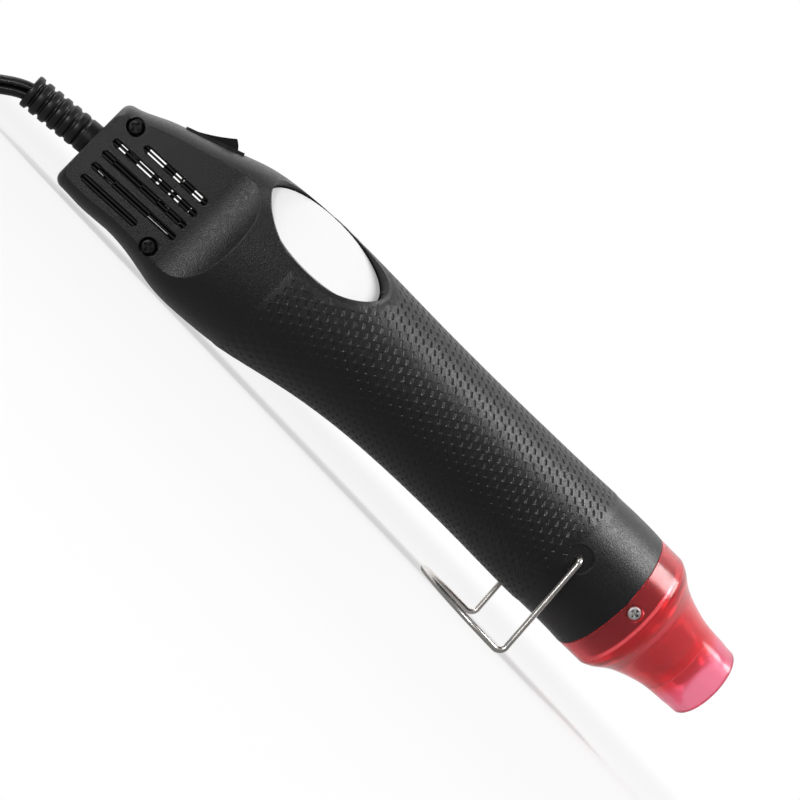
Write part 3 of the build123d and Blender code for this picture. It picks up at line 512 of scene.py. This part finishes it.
def coil_points():
    """Control points of the coil's half turns, spread along each."""
    radii = coil_radii()
    across = 2 * (COIL_COLUMNS - 1)
    lead = CORD_WIDTH
    place = Matrix.Translation((*COIL_MIDDLE, 0)) @ Matrix.Rotation(COIL_HEADING, 4, "Z")
    y, z = radii[0], COIL_Z
    points = [(-lead, y, z)]
    swell = 1 / cos(pi / (2 * COIL_POINTS_PER_HALF))
    for k, radius in enumerate(radii):
        side = 1 if k % 2 == 0 else -1
        climb = COIL_PITCH if k % across == 0 and 0 < k < COIL_HALVES - 1 else 0.0
        end_y = y - side * 2 * radius
        for j in range(COIL_POINTS_PER_HALF):
            angle = pi * (j + 1 / 2) / COIL_POINTS_PER_HALF
            rise = z + climb / 2 * (1 - cos(angle))
            out = side * hypot(radius, climb / 2) * swell * sin(angle)
            points.append((out, (y + end_y) / 2 + (y - end_y) / 2 * swell * cos(angle), rise))
        y, z = end_y, z + climb
    points.append((-lead, y, z))
    return [tuple(place @ Vector(point)) for point in points]


def centre_line(points):
    """The cord's NURBS spline, read as points."""
    data = bpy.data.curves.new("cord_route", "CURVE")
    data.dimensions = "3D"
    data.resolution_u = LINE_STEPS
    spline = data.splines.new("NURBS")
    spline.points.add(len(points) - 1)
    for point, place in zip(spline.points, points):
        point.co = (*place, 1)
    spline.order_u = 3
    spline.use_endpoint_u = True
    route = add_object("cord_route", data)
    bpy.context.view_layer.update()
    mesh = bpy.data.meshes.new_from_object(route)
    line = [vertex.co.copy() for vertex in mesh.vertices]
    bpy.data.objects.remove(route)
    bpy.data.meshes.remove(mesh)
    return line


def twin_profile():
    """Outline of the flat two-core cord, as pairs of across and along its width."""
    core = CORD_THICK / 2
    centre = CORD_WIDTH / 2 - core
    half_arc = pi - CORD_WAIST
    outline = []
    for turn, side in ((0, 1), (pi, -1)):
        for k in range(CORE_POINTS):
            angle = turn - half_arc + 2 * half_arc * k / (CORE_POINTS - 1) + pi / 2
            outline.append((core * cos(angle), centre * side + core * sin(angle)))
    return outline


def flat_cord(line):
    """Flat cord swept along its centre line, with its width kept upright."""
    profile = twin_profile()
    count = len(profile)
    vertices = []
    for i, here in enumerate(line):
        ahead = line[min(i + 1, len(line) - 1)] - line[max(i - 1, 0)]
        ahead.normalize()
        up = (Vector((0, 0, 1)) - ahead * ahead.z).normalized()
        across = ahead.cross(up)
        vertices += [here + across * a + up * b for a, b in profile]
    faces = []
    for i in range(len(line) - 1):
        for j in range(count):
            k = (j + 1) % count
            faces.append((i * count + j, i * count + k, (i + 1) * count + k, (i + 1) * count + j))
    faces.append(tuple(reversed(range(count))))
    faces.append(tuple((len(line) - 1) * count + j for j in range(count)))
    return mesh_piece("mains_cord", vertices, faces)


def make_cord(boot):
    """The whole cord, from the strain relief through the coil to the plug."""
    line = centre_line([*CORD_ROUTE, *coil_points(), *PLUG_ROUTE])
    cord = flat_cord(line)
    black = plain_plastic("cord_black", (0.005, 0.005, 0.0055), (0.009, 0.009, 0.0095), 0.3)
    cord.data.materials.append(black)
    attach(cord, "housing")
    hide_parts("power_cord", "cord_coil", "plug_lead")


# Grip
def inside_grip(x, y, z):
    """Distance in millimetres inside the grip's full height, below 0 on its ramp and past it."""
    front = GRIP_FRONT_FLANK + (GRIP_FRONT_TOP - GRIP_FRONT_FLANK) * min(1.0, abs(z) / FRONT_RADIUS)
    inside = min(x - GRIP_REAR, front - x)
    if y < 0:
        along = (x + LABEL_BACK) / (LABEL_HALF[0] + LABEL_MARGIN)
        across = (y * sin(LABEL_LEAN) + z * cos(LABEL_LEAN)) / (LABEL_HALF[1] + LABEL_MARGIN)
        clear = (hypot(along, across) - 1) * LABEL_HALF[1]
        inside = min(inside, clear * LABEL_STEEPER - GRIP_RAMP)
    return inside


def shell_surface():
    """Search tree of both shells' faces."""
    vertices, faces = [], []
    for name in ("right_shell", "left_shell"):
        shell = NODES[name]
        first = len(vertices)
        vertices += [shell.matrix_world @ vertex.co for vertex in shell.data.vertices]
        faces += [[first + k for k in face.vertices] for face in shell.data.polygons]
    return BVHTree.FromPolygons(vertices, faces)


def grip_height(inside, stroke):
    """Height over the shells: sunk outside the grip, up its ramp, full, or low in a stroke."""
    part = min(1.0, max(0.0, inside / GRIP_RAMP + 1))
    if part == 0:
        return -GRIP_SINK
    if stroke and inside > 0:
        return GRIP_STROKE_LEVEL
    return GRIP_HEIGHT * part * part * (3 - 2 * part)


def grip_vertex(surface, column, row, i, j):
    """Point of the grip in cell i, j of the slanting lattice, and how far inside the grip it is."""
    u, v = GRIP_COLUMNS[column], GRIP_ROWS[row]
    if column and row:
        u -= GRIP_LEAN * (v - 0.5)
    x = (i + u + j + v) / 2 * GRIP_CELL_LENGTH
    angle = ((i + u) - (j + v)) / 2 * 2 * pi / GRIP_CELLS_ROUND
    out = Vector((0, sin(angle), cos(angle)))
    start = TOOL @ ((Vector((x, 0, 0)) + out * GRIP_PROBE) * MM)
    out = TOOL.to_3x3() @ out
    # A ray that finds no wall, as at a hole, takes the nearest one
    hit = surface.ray_cast(start, -out, GRIP_REACH * MM)[0] or surface.find_nearest(start)[0]
    inside = inside_grip(*(TOOL.inverted() @ hit / MM))
    height = grip_height(inside, column == STROKE_COLUMN and row in STROKE_ROWS)
    return hit + out * height * MM, inside


def grip_cells():
    """The lattice cells that cover the grip: i + j runs along the barrel, and i - j round it."""
    first = int(2 * (GRIP_REAR / GRIP_CELL_LENGTH - 1))
    last = int(2 * GRIP_FRONT_TOP / GRIP_CELL_LENGTH) + 2
    return [((total + turn) // 2, (total - turn) // 2)
            for turn in range(-GRIP_CELLS_ROUND, GRIP_CELLS_ROUND)
            for total in range(first, last) if (total + turn) % 2 == 0]


def grip_skin():
    """Moulded grip on both shells, with one short stroke sunk in each cell."""
    surface = shell_surface()
    index, vertices, depths, faces = {}, [], [], []

    def corner(i, j, column, row):
        """Number of a lattice point, made once, also where the cells meet under the barrel."""
        i, column = i + column // len(GRIP_COLUMNS), column % len(GRIP_COLUMNS)
        j, row = j + row // len(GRIP_ROWS), row % len(GRIP_ROWS)
        if i - j >= GRIP_CELLS_ROUND:
            i, j = i - GRIP_CELLS_ROUND, j + GRIP_CELLS_ROUND
        elif i - j < -GRIP_CELLS_ROUND:
            i, j = i + GRIP_CELLS_ROUND, j - GRIP_CELLS_ROUND
        key = (i, j, column, row)
        if key not in index:
            point, inside = grip_vertex(surface, column, row, i, j)
            index[key] = len(vertices)
            vertices.append(point)
            depths.append(inside)
        return index[key]

    for i, j in grip_cells():
        for column in range(len(GRIP_COLUMNS)):
            for row in range(len(GRIP_ROWS)):
                face = [corner(i, j, column, row), corner(i, j, column, row + 1),
                        corner(i, j, column + 1, row + 1), corner(i, j, column + 1, row)]
                if max(depths[k] for k in face) > -GRIP_RAMP:
                    faces.append(face)
    used = sorted({k for face in faces for k in face})
    place = {k: n for n, k in enumerate(used)}
    skin = mesh_piece("grip_skin", [vertices[k] for k in used], [[place[k] for k in face] for face in faces])
    skin.data.set_sharp_from_angle(angle=GRIP_SHARP)
    skin.data.materials.append(shell_material("grip_plastic", 0.0))
    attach(skin, "housing")


# Vent inserts
def insert_bars(side):
    """Bars behind one panel, as row, start, end, shift across and width: the right one has lips and ribs."""
    bars = [(row, start, end, 0.0, 2 * BAR_HALF) for row, start, end in VENT_ROWS]
    if side < 0:
        bars += [(row, start, end, sign * sum(LIP) / 2, LIP[1] - LIP[0])
                 for row, start, end in VENT_ROWS for sign in (1, -1)]
        bars += [(row, start, end, 0.0, 2 * VENT_HALF) for row, start, end in VENT_RIBS]
    return bars


def vent_inserts():
    """Inserts in the vent slots, set back from both panels."""
    mesh = bmesh.new()
    for side in (1, -1):
        middle = Vector((VENT_MIDDLE, side * (PANEL_HALF - sum(BAR_SINK) / 2), VENT_Z))
        base = TOOL @ Matrix.Translation(middle * MM) @ Matrix.Rotation(-VENT_SLOPE, 4, "Y")
        for row, start, end, shift, width in insert_bars(side):
            along = ((start + end) / 2 - 0.5) * VENT_SPAN
            place = base @ Matrix.Translation(Vector((along, 0, row * VENT_PITCH + shift)) * MM)
            size = Vector(((end - start) * VENT_SPAN, BAR_SINK[1] - BAR_SINK[0], width)) * MM
            made = bmesh.ops.create_cube(mesh, size=1.0)
            bmesh.ops.transform(mesh, matrix=place @ Matrix.Diagonal((*size, 1)), verts=made["verts"])
    bmesh.ops.bevel(mesh, geom=list(mesh.edges), offset=BAR_EDGE * MM, segments=2, affect="EDGES")
    inserts = built_piece("vent_inserts", mesh, smooth=False)
    black = plain_plastic("vent_insert", (0.003, 0.003, 0.003), (0.005, 0.005, 0.005), 0.6)
    inserts.data.materials.append(black)
    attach(inserts, "housing")


# Strain relief
def relief_radius(x):
    """Outer radius of the strain relief at a distance from the tail."""
    part = (x - RELIEF_SMOOTH) / (RELIEF_LENGTH - RELIEF_SMOOTH)
    if part < 0:
        return RELIEF_RADIUS - RELIEF_CROWN
    phase = part * RELIEF_RIBS % 1.0
    if phase < RELIEF_GROOVE_SHARE:
        depth = RELIEF_GROOVES[0] + part * (RELIEF_GROOVES[1] - RELIEF_GROOVES[0])
        hollow = sin(pi * phase / RELIEF_GROOVE_SHARE) ** RELIEF_GROOVE_SHAPE
        return RELIEF_RADIUS - RELIEF_CROWN - depth * hollow
    crown = sin(pi * (phase - RELIEF_GROOVE_SHARE) / (1 - RELIEF_GROOVE_SHARE)) ** RELIEF_CROWN_SHAPE
    return RELIEF_RADIUS - RELIEF_CROWN * (1 - crown)


def relief_profile():
    """Outline of the strain relief, as pairs of distance from the tail and radius."""
    reach = RELIEF_LENGTH - RELIEF_RIM
    profile = [(-RELIEF_ROOT, 0.0), (-RELIEF_ROOT, RELIEF_NECK), (RELIEF_NECK_END, RELIEF_NECK),
               (RELIEF_SHOULDER[0], RELIEF_RADIUS - RELIEF_SHOULDER[1])]
    for k in range(RELIEF_STEPS + 1):
        x = RELIEF_START + k / RELIEF_STEPS * (reach - RELIEF_START)
        profile.append((x, relief_radius(x)))
    last = profile[-1][1]
    for k in range(1, RELIEF_RIM_STEPS + 1):
        angle = pi / 2 * k / RELIEF_RIM_STEPS
        profile.append((reach + RELIEF_RIM * sin(angle), last - RELIEF_RIM * (1 - cos(angle))))
    profile += [(RELIEF_LENGTH - back, RELIEF_MOUTH + out) for back, out in RELIEF_MOUTH_EDGE]
    bottom = RELIEF_LENGTH - RELIEF_MOUTH_DEPTH
    return profile + [(bottom, RELIEF_MOUTH), (bottom, 0.0)]


def turned(profile, place):
    """Mesh of a profile turned about the X axis, then put in its place. Points on the axis close it."""
    mesh = bmesh.new()
    rings = []
    for x, radius in profile:
        turns = [2 * pi * k / RELIEF_SIDES for k in range(RELIEF_SIDES if radius else 1)]
        ring = [Vector((x, radius * cos(turn), radius * sin(turn))) * MM for turn in turns]
        rings.append([mesh.verts.new(place @ point) for point in ring])
    for near, far in zip(rings, rings[1:]):
        for k in range(RELIEF_SIDES):
            n = (k + 1) % RELIEF_SIDES
            if len(near) == 1:
                mesh.faces.new((near[0], far[n], far[k]))
            elif len(far) == 1:
                mesh.faces.new((near[k], near[n], far[0]))
            else:
                mesh.faces.new((near[k], near[n], far[n], far[k]))
    bmesh.ops.recalc_face_normals(mesh, faces=list(mesh.faces))
    return mesh


def strain_relief():
    """Ribbed boot turned about its drooping axis, open at the mouth."""
    tail = Vector((-BODY_LENGTH, 0, RELIEF_Z)) * MM
    place = TOOL @ Matrix.Translation(tail) @ Matrix.Rotation(pi - RELIEF_DROOP, 4, "Y")
    boot = built_piece("relief_boot", turned(relief_profile(), place), smooth=True)
    boot.data.materials.append(MATERIALS["strain_relief"])
    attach(boot, "housing")
    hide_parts("strain_relief")
    return boot


# Stage
def add_camera():
    """Camera at the photograph's viewing angle."""
    data = bpy.data.cameras.new("camera")
    data.sensor_width = SENSOR
    data.lens = FOCAL_PIXELS * SENSOR / IMAGE_PIXELS
    data.clip_start = CLIP_START
    camera = add_object("camera", data)
    right = TOOL.to_3x3() @ CAMERA_RIGHT
    up = TOOL.to_3x3() @ -CAMERA_DOWN
    turn = Matrix((right, up, right.cross(up))).transposed().to_4x4()
    camera.matrix_world = Matrix.Translation(TOOL @ (CAMERA_PLACE * MM)) @ turn
    bpy.context.scene.camera = camera


def add_light(name, place, aim, size, power):
    """Softbox aimed at a point."""
    data = bpy.data.lights.new(name, "AREA")
    data.shape = "RECTANGLE"
    data.size, data.size_y = size
    data.energy = power
    light = add_object(name, data)
    light.location = place
    light.rotation_euler = (Vector(aim) - Vector(place)).to_track_quat("-Z", "Y").to_euler()


def backdrop_level(tree, mirrored):
    """White for camera and refracted rays, a given level for mirrored ones, a plain one for the rest."""
    path = tree.nodes.new("ShaderNodeLightPath")
    glossy = path.outputs["Is Glossy Ray"]
    rest = math_node(tree, "SUBTRACT", 1.0, glossy)
    level = math_node(tree, "ADD", math_node(tree, "MULTIPLY", glossy, mirrored),
                      math_node(tree, "MULTIPLY", rest, WORLD_LEVEL))
    for name in ("Is Camera Ray", "Is Transmission Ray"):
        level = math_node(tree, "MAXIMUM", level, path.outputs[name])
    return level


def add_world():
    """White studio behind the object, dark on the camera's side in mirrored rays."""
    world = bpy.data.worlds.new("studio")
    world.use_nodes = True
    tree = world.node_tree
    background = tree.nodes["Background"]
    depth = depth_of(tree, tree.nodes.new("ShaderNodeTexCoord").outputs["Generated"])
    mirrored = span(tree, depth, *WORLD_TURN, WORLD_FRONT, 1.0, smooth=True)
    feed(tree, background.inputs["Strength"], backdrop_level(tree, mirrored))
    background.inputs["Color"].default_value = (1, 1, 1, 1)
    bpy.context.scene.world = world


def floor_fade(tree, depth):
    """Share of the backdrop in the floor: it grows outwards, and is whole for mirrored rays in front."""
    distance = vector_node(tree, "LENGTH", object_point(tree)).outputs["Value"]
    fade = span(tree, distance, *FLOOR_FADE, FLOOR_LIFT, 1.0, smooth=True)
    glossy = tree.nodes.new("ShaderNodeLightPath").outputs["Is Glossy Ray"]
    in_front = math_node(tree, "LESS_THAN", depth, 0.0)
    return math_node(tree, "MAXIMUM", fade, math_node(tree, "MULTIPLY", glossy, in_front))


def floor_material():
    """White that keeps the object's shadow and fades into the backdrop."""
    material, tree, shader = new_material("floor", *FLOOR_PLAIN)
    shader.inputs["Specular IOR Level"].default_value = 0.0
    feed(tree, shader.inputs["Base Color"], tint(tree, noise(tree, FLOOR_CLOUDS), *FLOOR_TONES))
    depth = depth_of(tree, object_point(tree))
    mirrored = span(tree, depth, *FLOOR_TURN, WORLD_FRONT, 1.0, smooth=True)
    light = tree.nodes.new("ShaderNodeEmission")
    feed(tree, light.inputs["Strength"], backdrop_level(tree, mirrored))
    mix = tree.nodes.new("ShaderNodeMixShader")
    for socket, value in zip(mix.inputs, (floor_fade(tree, depth), shader.outputs[0], light.outputs[0])):
        feed(tree, socket, value)
    feed(tree, tree.nodes["Material Output"].inputs["Surface"], mix.outputs[0])
    return material


def add_floor():
    """Floor that the object lies on."""
    corners = [(x * FLOOR_REACH, y * FLOOR_REACH, 0) for x, y in ((-1, -1), (1, -1), (1, 1), (-1, 1))]
    floor = mesh_piece("floor", corners, [(0, 1, 2, 3)], smooth=False)
    floor.data.materials.append(floor_material())


def add_stage():
    """Pale floor, pale surroundings and soft lights."""
    bpy.context.scene.view_settings.view_transform = "Standard"
    add_world()
    add_floor()
    for light in LIGHTS:
        add_light(*light)


dress_nodes()
grip_skin()
vent_inserts()
make_cord(strain_relief())
add_camera()
add_stage()
